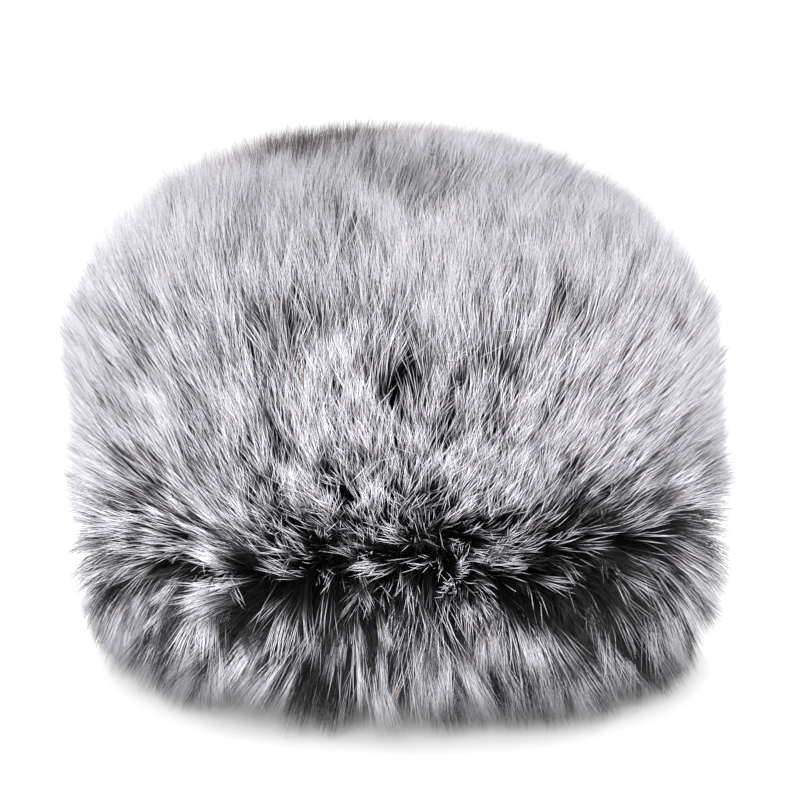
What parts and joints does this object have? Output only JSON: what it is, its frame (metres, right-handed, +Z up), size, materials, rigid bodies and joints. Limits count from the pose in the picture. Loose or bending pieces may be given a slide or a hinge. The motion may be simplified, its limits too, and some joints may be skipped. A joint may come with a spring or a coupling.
{
  "type": "furry microphone windscreen",
  "caption": "Sewn faux-fur cover that pulls over a large desktop microphone's head to stop wind and breath noise, open below, with an elasticated hem.",
  "frame": {"origin": "centre of the level face that the fringe rests on, on the cover's axis", "axes": "+Z up the cover's axis towards the crown, -Y towards the front panel, +X to the right seen from the front"},
  "size_m": [0.13, 0.13, 0.107],
  "materials": {
    "fur_pile": "matte",
    "knit_backing": "matte",
    "lining_cloth": "matte",
    "sewing_thread": "satin",
    "binding_tape": "matte",
    "elastic": "matte"
  },
  "bodies": {
    "root": {"fur_front": "fur_pile", "fur_back": "fur_pile", "fur_crown": "fur_pile", "backing_front": "knit_backing", "backing_back": "knit_backing", "backing_crown": "knit_backing", "lining_sleeve": "lining_cloth", "lining_crown": "lining_cloth", "crown_seam_thread": "sewing_thread", "left_seam_thread": "sewing_thread", "right_seam_thread": "sewing_thread", "lining_crown_seam_thread": "sewing_thread", "lining_seam_thread": "sewing_thread", "hem_needle_thread": "sewing_thread", "hem_bobbin_thread": "sewing_thread", "hem_binding": "binding_tape", "elastic_band": "elastic", "elastic_join": "elastic"}
  },
  "joints": []
}
